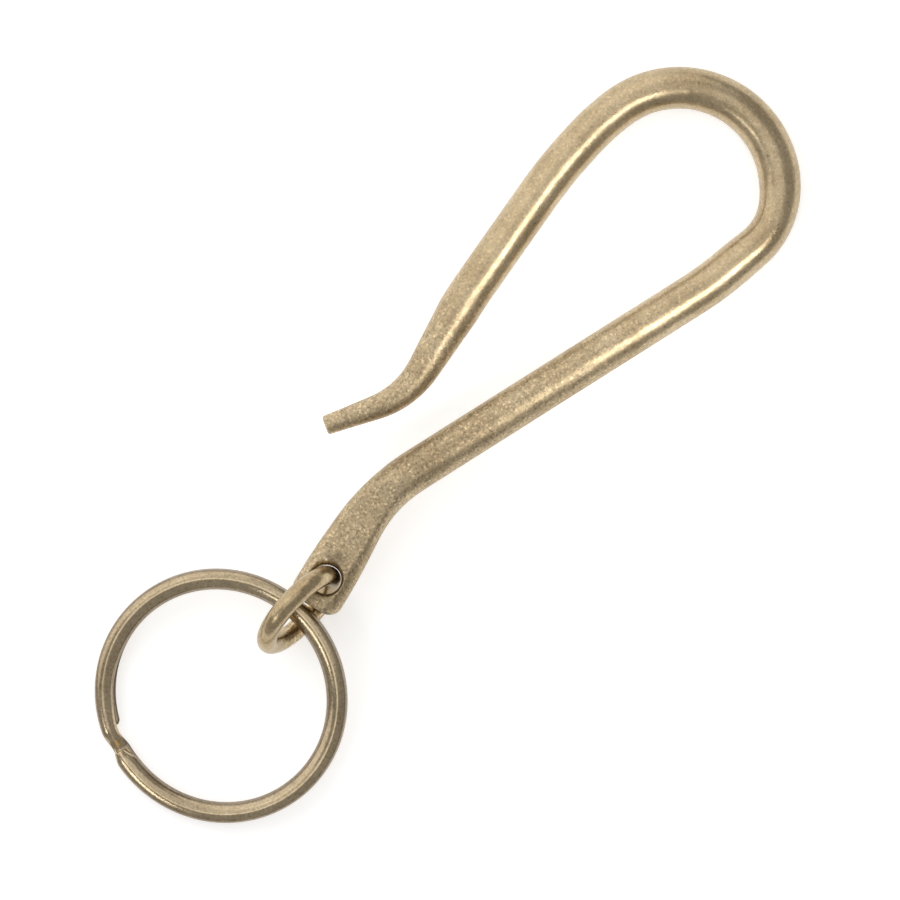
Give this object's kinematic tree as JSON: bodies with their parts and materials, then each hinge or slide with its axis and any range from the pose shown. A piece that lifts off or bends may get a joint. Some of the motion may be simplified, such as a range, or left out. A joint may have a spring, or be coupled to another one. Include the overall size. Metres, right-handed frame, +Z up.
{
  "type": "belt key clip",
  "caption": "Brass belt hook bent from round rod, with a forged eye, a link ring and a split ring for keys.",
  "frame": {"origin": "on the table that the clip lies on, under the middle of its outline", "axes": "+Z up from the table, +Y along the straight shank towards the belt loop, +X away from the arm"},
  "size_m": [0.0514, 0.1066, 0.0126],
  "materials": {
    "hook_brass": "tumbled, fine sandy grain",
    "link_brass": "smooth, slightly dulled",
    "ring_brass": "smooth, rolled"
  },
  "bodies": {
    "hook": {"belt_hook": "hook_brass"},
    "link": {"link_ring": "link_brass"},
    "ring": {"split_ring": "ring_brass"}
  },
  "joints": [
    {"name": "link_swing", "type": "hinge", "parent": "hook", "child": "link", "pos_m": [0.00549, -0.02071, 0.0063], "axis": [-0.0841, 0.0108, 0.9964], "range_deg": [-75, 75]},
    {"name": "ring_swing", "type": "hinge", "parent": "link", "child": "ring", "pos_m": [0.00696, -0.02562, 0.00406], "axis": [-0.9664, -0.2571, 0], "range_deg": [-120, 120]}
  ]
}
